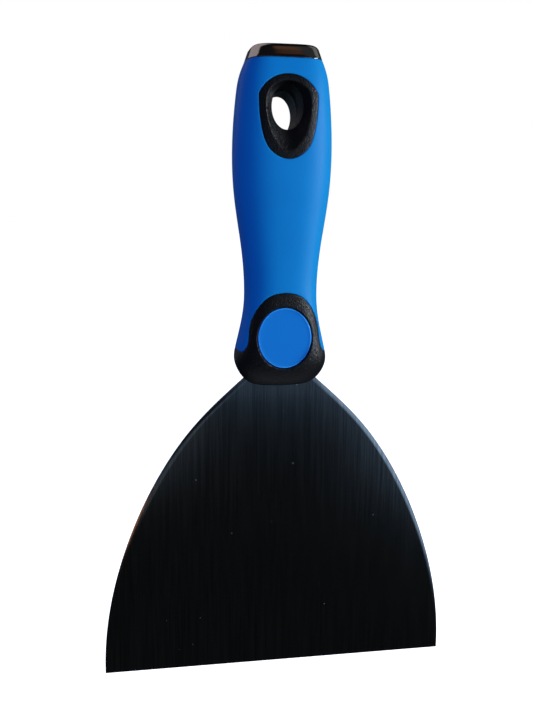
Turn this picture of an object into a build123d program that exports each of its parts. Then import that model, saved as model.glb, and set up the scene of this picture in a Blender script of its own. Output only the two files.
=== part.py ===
from build123d import *

import os
from math import cos, radians, sin

# A drywall taping knife: a wide stainless blade with a full tang, a soft two-colour handle
# with a hanging hole, and a chromed hammer cap. Millimetres.
# Frame: origin at the middle of the working edge, +Z towards the hammer cap,
# the blade in the XZ plane, the front face looking along -Y.

# ---- Blade ----
BLADE_WIDTH = 152.4
BLADE_SIDE = [(73.6, 30.0), (65.2, 60.0), (50.7, 90.5), (36.7, 110.0)]  # (half width, z) up one side
SHOULDER = (15.6, 130.4)  # where the side runs in under the bolster
EDGE_THICKNESS = 0.7
TAPER_START_Z = 122.0  # full thickness above, ground thinner below

# ---- Tang ----
TANG_THICKNESS = 2.0
TANG_HALF_WIDTH = 7.0
TANG_NECK_Z = 141.0
EYE_HALF_WIDTH = 13.2
EYE_HALF_HEIGHT = 16.0
TAB_HALF_WIDTH = 5.5
TAB_TOP_Z = 264.0

# ---- Handle body: z, half width, half depth, squareness of the section ----
HANDLE_STATIONS = [
    (127.6, 8.5, 3.2, 2.2),
    (128.5, 12.4, 6.4, 2.3),
    (130.6, 15.4, 9.6, 2.5),
    (134.6, 18.15, 12.2, 2.8),
    (139.0, 19.3, 13.4, 3.0),
    (144.0, 18.6, 13.8, 3.1),
    (149.0, 17.4, 13.7, 3.1),
    (155.9, 15.9, 13.5, 3.1),
    (163.0, 15.1, 13.0, 2.9),
    (169.5, 15.1, 12.7, 2.7),
    (180.0, 15.75, 12.9, 2.7),
    (192.9, 17.45, 13.8, 2.7),
    (206.0, 19.3, 15.0, 2.7),
    (222.0, 20.2, 15.9, 2.8),
    (236.0, 19.7, 15.9, 3.0),
    (247.7, 18.55, 15.3, 3.3),
    (255.0, 17.2, 14.3, 3.6),
    (260.1, 15.25, 13.2, 3.9),
]
HANDLE_BOTTOM_Z = 127.6
HANDLE_TOP_Z = 260.1
SECTION_STEPS = 12  # spline spans round half a section

# ---- Hard core under the grip ----
SLEEVE_WALL = 2.6
TAIL_INSET = 5.6  # the thinner lower end that the bolster surrounds
TAIL_BOTTOM_Z = 140.0
TAIL_TOP_Z = 170.5

# ---- Bolster and its tongues ----
GRIP_HEM_Z = 142.6  # level end of the grip at the handle's sides
TONGUE_SIDE = [(18.0, 142.6), (16.1, 146.2), (14.9, 151.0), (14.0, 156.0), (11.8, 160.7), (6.7, 166.2)]
TONGUE_TOP_Z = 167.8
TONGUE_REACH = 30.0

# ---- Badge ----
BADGE_Z = 149.1
BADGE_HALF_WIDTH = 11.2
BADGE_HALF_HEIGHT = 12.5
BADGE_GROOVE = 0.45
BADGE_FACE_Y = 12.1
BADGE_THICKNESS = 1.8
BADGE_EDGE_ROUND = 0.35
BADGE_PEG_RADIUS = 1.2
BADGE_PEG_LENGTH = 1.6
BADGE_PEG_OFFSET = 8.2
BADGE_BACK_Y = BADGE_FACE_Y - BADGE_THICKNESS

# ---- Hanging hole and its liner ----
HOLE_Z = 241.4
THROAT_FRONT = (6.4, 8.8, 241.4)  # half width, half height, z of the bore's front end
THROAT_REAR = (5.8, 8.4, 239.8)
TUBE_HALF_WIDTH = 8.2
TUBE_HALF_HEIGHT = 11.2
THROAT_Y = 12.4  # depth of the throat from the handle's middle plane
MOUTH_Y = 15.2
FLANGE_SEAT_Y = 11.6
FLANGE_TOP_Z = 253.8
FLANGE_CORNER = (11.95, 245.9)
FLANGE_SIDE = [(11.75, 240.0), (10.65, 232.3), (7.9, 225.3)]
FLANGE_BOTTOM_Z = 221.1
RIM_TOP_Z = 251.2
RIM_SIDE = [(4.7, 250.0), (7.8, 247.4), (9.0, 242.4), (8.1, 235.4), (4.8, 227.7)]
RIM_BOTTOM_Z = 224.3
EYE_CLEARANCE = 0.5

# ---- Rivets through the core and tang ----
TANG_RIVET_Z = [179.0, 196.0, 213.0]
TANG_RIVET_RADIUS = 2.0
TANG_RIVET_HEAD_RADIUS = 3.4
TANG_RIVET_SEAT_Y = 8.4
TANG_RIVET_HEAD = 1.4
BOLSTER_RIVET_RADIUS = 2.5
BOLSTER_RIVET_HEAD_RADIUS = 4.2
BOLSTER_RIVET_HEAD = 0.85
WASHER_RADIUS = 5.6
WASHER_THICKNESS = 0.8
WASHER_SEAT_Y = 8.6

# ---- Hammer cap ----
CAP_BOTTOM = (15.25, 13.2)  # half width, half depth
CAP_TOP = (13.35, 11.3)
CAP_SQUARENESS = 3.9
CAP_TOP_Z = 265.7
CAP_TOP_ROUND = 1.7
CAP_WALL = 1.1
BLOCK_SKIRT = (11.2, 8.6, 3.0)  # half width, half depth, corner radius
BLOCK_SKIRT_DEPTH = 2.0
CAP_PIN_RADIUS = 1.25
CAP_PIN_Z = 261.8
CAP_PIN_HALF_LENGTH = 9.6

FAR = 60.0  # past the handle's surface on any side


def at(x, z, y=0.0):
    """A point in the knife's frame from its place across and up."""
    return Vector(x, y, z)


def half_section(width, depth, squareness, z, front):
    """Half of a superellipse section, from the +X side round the front or rear to -X."""
    sign = -1 if front else 1
    points = []
    for step in range(SECTION_STEPS + 1):
        turn = radians(180.0 * step / SECTION_STEPS)
        across = abs(cos(turn)) ** (2 / squareness) * width * (1 if cos(turn) > 0 else -1)
        out = abs(sin(turn)) ** (2 / squareness) * depth * sign
        points.append(Vector(across, out, z))
    points[0] = Vector(width, 0, z)
    points[-1] = Vector(-width, 0, z)
    return Spline(*points, tangents=[Vector(0, sign, 0), Vector(0, -sign, 0)])


def handle_body(inset, bottom, top):
    """The handle's outer form, or the same form set in by a wall, between two heights."""
    first = max(station[0] for station in HANDLE_STATIONS if station[0] <= bottom)
    last = min(station[0] for station in HANDLE_STATIONS if station[0] >= top)
    faces = []
    for z, width, depth, squareness in HANDLE_STATIONS:
        if first <= z <= last:
            front = half_section(width - inset, depth - inset, squareness, z, True)
            rear = half_section(width - inset, depth - inset, squareness, z, False)
            faces.append(make_face([front, rear]))
    return slab(loft(faces), bottom, top)


def slab(solid, bottom, top):
    """The part of a solid between two heights."""
    return solid & Pos(0, 0, (bottom + top) / 2) * Box(4 * FAR, 4 * FAR, top - bottom)


def half_space(front):
    """The room in front of, or behind, the middle plane of the knife."""
    return Pos(0, -2 * FAR if front else 2 * FAR, 200) * Box(4 * FAR, 4 * FAR, 400)


def mirrored_face(edges):
    """A face from edges on the +X side that start and end on the middle line."""
    return make_face(edges + [mirror(edge, about=Plane.YZ) for edge in edges])


def through(face, near, far):
    """A face in the XZ plane made solid between two depths."""
    return Pos(0, far, 0) * extrude(face, amount=far - near, dir=Vector(0, -1, 0))


def oval(width, height, z):
    """A filled ellipse in the XZ plane."""
    return Plane.XZ * Pos(0, z) * Ellipse(width, height)


def upright(half_width, bottom, top):
    """A rectangle in the XZ plane between two heights."""
    return Plane.XZ * Pos(0, (bottom + top) / 2) * Rectangle(2 * half_width, top - bottom)


def rod(radius, z, near, far, x=0.0):
    """A round rod along Y between two depths."""
    return Plane.XZ * Pos(x, z, -(near + far) / 2) * Cylinder(radius, far - near)


# ---- Blade and tang, one piece ----


def blade_plan():
    """The flat outline of the blade, its neck, the tang with its eye, and the end tab."""
    corner = at(BLADE_WIDTH / 2, 0)
    shoulder = at(*SHOULDER)
    flare = [at(x, z) for x, z in BLADE_SIDE]
    side = Spline(corner, *flare, shoulder, tangents=[Vector(0, 0, 1), Vector(-1, 0, 0.8)])
    edge = Line(at(0, 0), corner)
    neck = Line(shoulder, at(TANG_HALF_WIDTH, TANG_NECK_Z))
    close = Line(at(TANG_HALF_WIDTH, TANG_NECK_Z), at(0, TANG_NECK_Z))
    fan = mirrored_face([edge, side, neck, close])
    strap = upright(TANG_HALF_WIDTH, TANG_NECK_Z, HOLE_Z)
    tab = upright(TAB_HALF_WIDTH, HOLE_Z, TAB_TOP_Z)
    eye = oval(EYE_HALF_WIDTH, EYE_HALF_HEIGHT, HOLE_Z)
    width, height = TUBE_HALF_WIDTH + EYE_CLEARANCE, TUBE_HALF_HEIGHT + EYE_CLEARANCE
    return fan + strap + tab + eye - oval(width, height, HOLE_Z)


def ground_profile():
    """The blade's thickness seen from the side, thinning to the working edge."""
    thick = TANG_THICKNESS / 2
    thin = EDGE_THICKNESS / 2
    points = [
        (-thin, 0),
        (thin, 0),
        (thick, TAPER_START_Z),
        (thick, CAP_TOP_Z),
        (-thick, CAP_TOP_Z),
        (-thick, TAPER_START_Z),
    ]
    profile = make_face(Polyline(*[Vector(0, y, z) for y, z in points], close=True))
    return Pos(-BLADE_WIDTH, 0, 0) * extrude(profile, amount=2 * BLADE_WIDTH, dir=Vector(1, 0, 0))


def tang_and_blade(drilled):
    """Stainless blade and full tang, with or without its rivet and pin holes."""
    body = through(blade_plan(), -TANG_THICKNESS, TANG_THICKNESS) & ground_profile()
    if drilled:
        for z in TANG_RIVET_Z:
            body -= rod(TANG_RIVET_RADIUS, z, -TANG_THICKNESS, TANG_THICKNESS)
        body -= rod(BOLSTER_RIVET_RADIUS, BADGE_Z, -TANG_THICKNESS, TANG_THICKNESS)
        body -= rod(CAP_PIN_RADIUS, CAP_PIN_Z, -TANG_THICKNESS, TANG_THICKNESS)
    return body


# ---- Handle shells ----


def tongue_region():
    """Everything below the joint between the grip and the bolster, right through the handle."""
    side = [at(x, z) for x, z in TONGUE_SIDE]
    rise = Spline(*side, at(0, TONGUE_TOP_Z), tangents=[Vector(-1, 0, 0.35), Vector(-1, 0, 0)])
    hem = Line(at(TONGUE_REACH, GRIP_HEM_Z), at(*TONGUE_SIDE[0]))
    outer = Line(at(TONGUE_REACH, 0), at(TONGUE_REACH, GRIP_HEM_Z))
    base = Line(at(0, 0), at(TONGUE_REACH, 0))
    return through(mirrored_face([base, outer, hem, rise]), -FAR, FAR)


def core_blank():
    """The hard core's outer form: a thin tail in the bolster and the full body above it."""
    body = handle_body(SLEEVE_WALL, TAIL_TOP_Z, HANDLE_TOP_Z)
    tail = handle_body(TAIL_INSET, TAIL_BOTTOM_Z, TAIL_TOP_Z)
    return body + tail


def flange_plan():
    """The liner's visible outline: an arched top, two corners and a rounded foot."""
    x, z = FLANGE_CORNER
    crown = TangentArc(at(0, FLANGE_TOP_Z), at(x, z), tangent=Vector(1, 0, 0))
    foot = [at(px, pz) for px, pz in FLANGE_SIDE]
    side = Spline(at(x, z), *foot, at(0, FLANGE_BOTTOM_Z), tangents=[Vector(0, 0, -1), Vector(-1, 0, 0)])
    return mirrored_face([crown, side])


def liner_blank():
    """Both liner halves' outer form: flush flanges and the oval tube between them."""
    tube = oval(TUBE_HALF_WIDTH, TUBE_HALF_HEIGHT, HOLE_Z)
    blank = through(tube, -FLANGE_SEAT_Y, FLANGE_SEAT_Y)
    blank += through(flange_plan(), -FAR, -FLANGE_SEAT_Y)
    blank += through(flange_plan(), FLANGE_SEAT_Y, FAR)
    return blank


def egg(y):
    """The funnel's mouth, egg-shaped with the small end down, at one depth."""
    side = [at(0, RIM_TOP_Z), *[at(x, z) for x, z in RIM_SIDE], at(0, RIM_BOTTOM_Z)]
    curve = Spline(*side, tangents=[Vector(1, 0, 0), Vector(-1, 0, 0)])
    return Pos(0, y, 0) * mirrored_face([curve])


def throat(size, y):
    """One end of the oval bore at one depth, in two halves like the mouth."""
    half_width, half_height, z = size
    points = []
    for step in range(SECTION_STEPS + 1):
        turn = radians(180.0 * step / SECTION_STEPS)
        points.append(at(half_width * sin(turn), z + half_height * cos(turn)))
    curve = Spline(*points, tangents=[Vector(1, 0, 0), Vector(-1, 0, 0)])
    return Pos(0, y, 0) * mirrored_face([curve])


def hole_cutter():
    """The hanging hole: an oval bore that narrows to the rear, with an egg-shaped funnel at each face."""
    cutter = loft([throat(THROAT_FRONT, -THROAT_Y), throat(THROAT_REAR, THROAT_Y)], ruled=True)
    for side, size in ((-1, THROAT_FRONT), (1, THROAT_REAR)):
        cutter += loft([throat(size, side * THROAT_Y), egg(side * MOUTH_Y)], ruled=True)
        near, far = sorted((side * MOUTH_Y, side * FAR))
        cutter += through(egg(0), near, far)
    return cutter


def liner_half(handle, front):
    """One liner half: its flange flush with the grip, its funnel and half of the tube."""
    return (liner_blank() & handle & half_space(front)) - hole_cutter()


def core_half(core, front):
    """One hard half of the core, pocketed for the tang and bored for what passes through."""
    half = core & half_space(front)
    half -= tang_and_blade(False)
    half -= liner_blank()
    half -= block_skirt()
    half -= rivet_holes()
    return half


def grip(handle, core):
    """The soft sleeve moulded over the core."""
    return handle - tongue_region() - core - liner_blank()


def bolster(handle, core):
    """The black collar that grips the blade's shoulders, with a tongue on each face."""
    body = (handle & tongue_region()) - core - tang_and_blade(False)
    for side in (-1, 1):
        near, far = sorted((side * BADGE_BACK_Y, side * FAR))
        pocket = oval(BADGE_HALF_WIDTH + BADGE_GROOVE, BADGE_HALF_HEIGHT + BADGE_GROOVE, BADGE_Z)
        body -= through(pocket, near, far)
        near, far = sorted((side * WASHER_SEAT_Y, side * BADGE_BACK_Y))
        body -= rod(WASHER_RADIUS, BADGE_Z, near, far)
        for x in (-BADGE_PEG_OFFSET, BADGE_PEG_OFFSET):
            near, far = sorted((side * (BADGE_BACK_Y - BADGE_PEG_LENGTH), side * BADGE_BACK_Y))
            body -= rod(BADGE_PEG_RADIUS, BADGE_Z, near, far, x)
    body -= rod(BOLSTER_RIVET_RADIUS, BADGE_Z, -FAR, FAR)
    return body


def badge(side):
    """An oval badge with two pegs that press into the bolster."""
    near, far = sorted((side * BADGE_BACK_Y, side * BADGE_FACE_Y))
    disc = through(oval(BADGE_HALF_WIDTH, BADGE_HALF_HEIGHT, BADGE_Z), near, far)
    rim = disc.faces().sort_by(Axis.Y)[-1 if side > 0 else 0].edges()
    disc = fillet(rim, BADGE_EDGE_ROUND)
    for x in (-BADGE_PEG_OFFSET, BADGE_PEG_OFFSET):
        near, far = sorted((side * (BADGE_BACK_Y - BADGE_PEG_LENGTH), side * BADGE_BACK_Y))
        disc += rod(BADGE_PEG_RADIUS, BADGE_Z, near, far, x)
    return disc


# ---- Rivets ----


def rivet_holes():
    """Clear holes and head seats in the core for every rivet."""
    cut = rod(BOLSTER_RIVET_RADIUS, BADGE_Z, -FAR, FAR)
    for z in TANG_RIVET_Z:
        cut += rod(TANG_RIVET_RADIUS, z, -FAR, FAR)
        cut += rod(TANG_RIVET_HEAD_RADIUS, z, -FAR, -TANG_RIVET_SEAT_Y)
        cut += rod(TANG_RIVET_HEAD_RADIUS, z, TANG_RIVET_SEAT_Y, FAR)
    return cut


def tang_rivets():
    """The hidden rivets that clamp the core halves on the tang."""
    rivets = []
    reach = TANG_RIVET_SEAT_Y + TANG_RIVET_HEAD
    for z in TANG_RIVET_Z:
        rivet = rod(TANG_RIVET_RADIUS, z, -reach, reach)
        rivet += rod(TANG_RIVET_HEAD_RADIUS, z, -reach, -TANG_RIVET_SEAT_Y)
        rivet += rod(TANG_RIVET_HEAD_RADIUS, z, TANG_RIVET_SEAT_Y, reach)
        rivets.append(rivet)
    return Compound(children=rivets)


def bolster_rivet():
    """The rivet behind the badges, through bolster, core and tang."""
    seat = WASHER_SEAT_Y + WASHER_THICKNESS
    reach = seat + BOLSTER_RIVET_HEAD
    rivet = rod(BOLSTER_RIVET_RADIUS, BADGE_Z, -reach, reach)
    rivet += rod(BOLSTER_RIVET_HEAD_RADIUS, BADGE_Z, -reach, -seat)
    rivet += rod(BOLSTER_RIVET_HEAD_RADIUS, BADGE_Z, seat, reach)
    return rivet


def rivet_washers():
    """The washers under the bolster rivet's heads."""
    washers = []
    for side in (-1, 1):
        near, far = sorted((side * WASHER_SEAT_Y, side * (WASHER_SEAT_Y + WASHER_THICKNESS)))
        washer = rod(WASHER_RADIUS, BADGE_Z, near, far) - rod(BOLSTER_RIVET_RADIUS, BADGE_Z, near, far)
        washers.append(washer)
    return Compound(children=washers)


# ---- Hammer cap ----


def cap_form(inset, top_drop):
    """The cap's flared, round-shouldered form, or the same form set in by the shell's wall."""
    sections = []
    for (width, depth), z in ((CAP_BOTTOM, HANDLE_TOP_Z), (CAP_TOP, CAP_TOP_Z - top_drop)):
        sides = [half_section(width - inset, depth - inset, CAP_SQUARENESS, z, front) for front in (True, False)]
        sections.append(make_face(sides))
    form = loft(sections, ruled=True)
    rim = form.faces().sort_by(Axis.Z)[-1].edges()
    return fillet(rim, CAP_TOP_ROUND - inset / 2)


def block_skirt():
    """The strike block's foot, which sits in the core."""
    width, depth, radius = BLOCK_SKIRT
    plan = Pos(0, 0, HANDLE_TOP_Z - BLOCK_SKIRT_DEPTH) * RectangleRounded(2 * width, 2 * depth, radius)
    return extrude(plan, amount=BLOCK_SKIRT_DEPTH)


def cap_shell():
    """The chromed shell pressed over the strike block."""
    return cap_form(0, 0) - cap_form(CAP_WALL, CAP_WALL)


def strike_block():
    """The steel block under the shell, slotted for the tang's tab and cross-drilled."""
    block = cap_form(CAP_WALL, CAP_WALL) + block_skirt()
    block -= tang_and_blade(False)
    block -= rod(CAP_PIN_RADIUS, CAP_PIN_Z, -CAP_PIN_HALF_LENGTH, CAP_PIN_HALF_LENGTH)
    return block


def cap_pin():
    """The cross pin through the strike block and the tang's tab."""
    return rod(CAP_PIN_RADIUS, CAP_PIN_Z, -CAP_PIN_HALF_LENGTH, CAP_PIN_HALF_LENGTH)


def export(node, solid):
    """Write one node's solids."""
    export_step(solid, f"parts/{node}.step")


def main():
    """Build and write every piece."""
    os.makedirs("parts", exist_ok=True)
    handle = handle_body(0, HANDLE_BOTTOM_Z, HANDLE_TOP_Z)
    core = core_blank()
    export("blade", tang_and_blade(True))
    export("core_front", core_half(core, True))
    export("core_rear", core_half(core, False))
    export("grip_sleeve", grip(handle, core))
    export("bolster", bolster(handle, core))
    export("badge_front", badge(-1))
    export("badge_rear", badge(1))
    export("hole_liner_front", liner_half(handle, True))
    export("hole_liner_rear", liner_half(handle, False))
    export("tang_rivets", tang_rivets())
    export("bolster_rivet", bolster_rivet())
    export("rivet_washers", rivet_washers())
    export("cap_shell", cap_shell())
    export("strike_block", strike_block())
    export("cap_pin", cap_pin())


main()
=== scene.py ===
"""Looks for a drywall taping knife: a stainless blade, a soft two-colour handle and a chromed hammer cap.

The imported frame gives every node's place. This script adds the finished surfaces round it, in metres,
with +Z up the knife, the front face towards -Y and the origin at the middle of the working edge.
"""

import logging
import math
from collections.abc import Sequence
from dataclasses import dataclass, field
from enum import Enum

import bpy
import numpy as np
from mathutils import Matrix, Vector
from mathutils.geometry import tessellate_polygon


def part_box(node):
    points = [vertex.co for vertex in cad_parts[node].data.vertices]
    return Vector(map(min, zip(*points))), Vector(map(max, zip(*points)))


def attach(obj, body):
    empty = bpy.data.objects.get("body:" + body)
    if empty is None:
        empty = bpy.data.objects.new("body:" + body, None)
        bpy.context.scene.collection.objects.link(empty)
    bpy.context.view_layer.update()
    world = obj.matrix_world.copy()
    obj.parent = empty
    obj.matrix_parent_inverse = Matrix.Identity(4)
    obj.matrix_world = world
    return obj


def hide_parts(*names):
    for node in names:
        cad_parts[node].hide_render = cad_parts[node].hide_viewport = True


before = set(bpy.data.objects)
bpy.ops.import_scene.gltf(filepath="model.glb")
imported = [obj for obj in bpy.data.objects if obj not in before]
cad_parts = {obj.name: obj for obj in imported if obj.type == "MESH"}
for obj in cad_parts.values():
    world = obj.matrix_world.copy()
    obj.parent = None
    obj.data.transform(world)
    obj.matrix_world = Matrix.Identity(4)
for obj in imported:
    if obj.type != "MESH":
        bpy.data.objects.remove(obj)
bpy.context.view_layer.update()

ROOT = "root"
MM = 0.001
SHARP_DEGREES = 50.0
LOG = logging.getLogger("taping_knife")
Points = Sequence[tuple[float, float]]
Face = tuple[int, ...]
Tree, Node, Socket = bpy.types.NodeTree, bpy.types.Node, bpy.types.NodeSocket
Material, Piece = bpy.types.Material, bpy.types.Object
CLOUD_MM = 14.0
SMEAR_MM = 32.0


# ---------------------------------------------------------------- node and colour helpers


def srgb(code: str) -> tuple[float, float, float, float]:
    """Turn an sRGB hex colour into the linear colour that shaders take.

    Args:
        code: six hex digits with a leading hash.

    Returns:
        Linear red, green, blue and an alpha of one.
    """
    parts = [int(code[i : i + 2], 16) / 255 for i in (1, 3, 5)]
    linear = [c / 12.92 if c <= 0.04045 else ((c + 0.055) / 1.055) ** 2.4 for c in parts]
    return (*linear, 1.0)


def add_node(tree: Tree, kind: str, settings: dict | None = None, **inputs) -> Node:
    """Add a node, set its properties, and fill or link its inputs.

    Args:
        tree: the node tree that it goes in.
        kind: the node's type name.
        settings: property names and values.
        **inputs: input names, with spaces as underscores, or i0, i1 for places; a socket is linked.

    Returns:
        The new node.
    """
    node = tree.nodes.new(kind)
    for name, value in (settings or {}).items():
        setattr(node, name, value)
    for name, value in inputs.items():
        is_place = name[0] == "i" and name[1:].isdigit()
        socket = node.inputs[int(name[1:]) if is_place else name.replace("_", " ")]
        if isinstance(value, bpy.types.NodeSocket):
            tree.links.new(value, socket)
        else:
            socket.default_value = value
    return node


def set_ramp(node: Node, stops: list[tuple[float, tuple]]) -> None:
    """Give a colour ramp its stops.

    Args:
        node: the colour ramp node.
        stops: place and linear colour of each stop, in order.
    """
    elements = node.color_ramp.elements
    while len(elements) < len(stops):
        elements.new(0.5)
    for element, (place, colour) in zip(elements, stops):
        element.position = place
        element.color = colour


# ---------------------------------------------------------------- finishes


class Grain(Enum):
    """The surface texture that a moulding tool or a grinder leaves."""

    SPARK = "spark-eroded moulding grain"
    SMOOTH = "polished moulding"
    BRUSHED = "lengthwise grinding lines"
    BRIGHT = "polished and plated"


def new_material(name: str) -> tuple[Material, Tree, Node, Socket]:
    """Start a material with a Principled shader and object coordinates.

    Args:
        name: the material's name.

    Returns:
        The material, its node tree, the shader node and the Object coordinate socket.
    """
    material = bpy.data.materials.new(name)
    material.use_nodes = True
    tree = material.node_tree
    shader = tree.nodes["Principled BSDF"]
    coords = add_node(tree, "ShaderNodeTexCoord").outputs["Object"]
    return material, tree, shader, coords


@dataclass(frozen=True)
class MouldedFinish:
    """A moulded plastic or rubber: a colour with a slight mottle, and a fine grain in its gloss."""

    name: str
    colour: str
    mottle: str
    roughness: float
    grain: Grain
    grain_mm: float
    relief_mm: float
    ior: float = 1.5
    specular: float = 0.5
    # Size and centre height of an oval whose thin outer band is lightened: a painted highlight along the
    # edge.
    rim: tuple[float, float, float] | None = None
    painted_highlight_colour: str = "#2F97F0"

    def build(self) -> Material:
        """Make the material.

        Returns:
            The finished material.
        """
        material, tree, shader, coords = new_material(self.name)
        cloud = add_node(tree, "ShaderNodeTexNoise", Vector=coords, Scale=1 / (CLOUD_MM * MM), Detail=3.0)
        tint = add_node(tree, "ShaderNodeValToRGB", Fac=cloud.outputs["Fac"])
        set_ramp(tint, [(0.35, srgb(self.colour)), (0.7, srgb(self.mottle))])
        pitch = 1 / (self.grain_mm * MM)
        grain = add_node(tree, "ShaderNodeTexNoise", Vector=coords, Scale=pitch, Detail=2.0)
        noise = grain.outputs["Fac"]
        spread = 0.12 if self.grain is Grain.SPARK else 0.04
        ends = {"To_Min": self.roughness - spread, "To_Max": self.roughness + spread}
        gloss = add_node(tree, "ShaderNodeMapRange", Value=noise, From_Min=0.3, From_Max=0.7, **ends)
        depth = self.relief_mm * MM
        relief = add_node(tree, "ShaderNodeBump", Height=noise, Distance=depth, Strength=0.9)
        colour = tint.outputs["Color"]
        if self.rim:
            colour = self.paint_rim_highlight(tree, coords, colour)
        tree.links.new(colour, shader.inputs["Base Color"])
        tree.links.new(gloss.outputs["Result"], shader.inputs["Roughness"])
        tree.links.new(relief.outputs["Normal"], shader.inputs["Normal"])
        shader.inputs["IOR"].default_value = self.ior
        shader.inputs["Specular IOR Level"].default_value = self.specular
        return material

    def paint_rim_highlight(self, tree: Tree, coords: Socket, colour: Socket):
        """Lighten a thin oval band at the edge: a painted highlight where the moulding's rounded edge
        catches the light.

        Args:
            tree: the material's node tree.
            coords: the Object coordinates.
            colour: the colour inside the band.

        Returns:
            The colour socket with the band.
        """
        width, height, up = self.rim
        scale = (1 / (width * MM), 0.0, 1 / (height * MM))
        shift = (0.0, 0.0, -up / height)
        place = add_node(tree, "ShaderNodeMapping", Vector=coords, Location=shift, Scale=scale)
        reach = add_node(tree, "ShaderNodeVectorMath", {"operation": "LENGTH"}, i0=place.outputs["Vector"])
        ends = {"From_Min": 0.955, "From_Max": 0.965}
        band = add_node(tree, "ShaderNodeMapRange", Value=reach.outputs["Value"], **ends)
        share, light = band.outputs["Result"], srgb(self.painted_highlight_colour)
        mixed = add_node(tree, "ShaderNodeMix", {"data_type": "RGBA"}, i0=share, i6=colour, i7=light)
        return mixed.outputs[2]


@dataclass(frozen=True)
class MetalFinish:
    """A bare or plated metal: its colour, and the scratches, grinding lines and smears in its gloss."""

    name: str
    colour: str
    roughness: float
    grain: Grain
    line_mm: float
    relief_mm: float
    smear: float = 0.05
    anisotropy: float = 0.0
    streak: str = ""
    dust_mm: float = 0.0

    def build(self) -> Material:
        """Make the material.

        Returns:
            The finished material.
        """
        material, tree, shader, coords = new_material(self.name)
        stretch = (1.0, 1.0, 0.02) if self.grain is Grain.BRUSHED else (1.0, 1.0, 1.0)
        along = add_node(tree, "ShaderNodeMapping", Vector=coords, Scale=stretch)
        look = {"Vector": along.outputs["Vector"], "Scale": 1 / (self.line_mm * MM), "Detail": 5.0}
        lines = add_node(tree, "ShaderNodeTexNoise", **look)
        look = {"Vector": coords, "Scale": 1 / (SMEAR_MM * MM), "Detail": 4.0, "Distortion": 0.8}
        smear = add_node(tree, "ShaderNodeTexNoise", **look)
        parts = []
        for source, low, high, start, end in (
            (smear, 0.35, 0.75, self.roughness, self.roughness + self.smear),
            (lines, 0.3, 0.7, -0.5 * self.smear, 0.5 * self.smear),
        ):
            ends = {"From_Min": low, "From_Max": high, "To_Min": start, "To_Max": end}
            part = add_node(tree, "ShaderNodeMapRange", Value=source.outputs["Fac"], **ends)
            parts.append(part.outputs["Result"])
        total = add_node(tree, "ShaderNodeMath", {"operation": "ADD"}, i0=parts[0], i1=parts[1])
        depth = self.relief_mm * MM
        relief = add_node(tree, "ShaderNodeBump", Height=lines.outputs["Fac"], Distance=depth, Strength=0.5)
        gloss_out = total.outputs["Value"]
        shader.inputs["Base Color"].default_value = srgb(self.colour)
        if self.streak:
            shade = add_node(tree, "ShaderNodeValToRGB", Fac=lines.outputs["Fac"])
            set_ramp(shade, [(0.36, srgb(self.streak)), (0.64, srgb(self.colour))])
            tree.links.new(shade.outputs["Color"], shader.inputs["Base Color"])
        if self.dust_mm:
            gloss_out = self.dust(tree, coords, gloss_out)
        shader.inputs["Metallic"].default_value = 1.0
        shader.inputs["Anisotropic"].default_value = self.anisotropy
        tree.links.new(gloss_out, shader.inputs["Roughness"])
        tree.links.new(relief.outputs["Normal"], shader.inputs["Normal"])
        return material

    def dust(self, tree: Tree, coords: Socket, gloss: Socket):
        """Scatter fine dull specks over the polish.

        Args:
            tree: the material's node tree.
            coords: the Object coordinates.
            gloss: the roughness without them.

        Returns:
            The roughness socket with them.
        """
        cells = add_node(tree, "ShaderNodeTexVoronoi", Vector=coords, Scale=1 / (self.dust_mm * MM))
        ends = {"From_Min": 0.045, "From_Max": 0.02}
        size = add_node(tree, "ShaderNodeMapRange", Value=cells.outputs["Distance"], **ends)
        speck, blend = size.outputs["Result"], {"operation": "MULTIPLY_ADD"}
        return add_node(tree, "ShaderNodeMath", blend, i0=speck, i1=0.5, i2=gloss).outputs["Value"]


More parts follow.
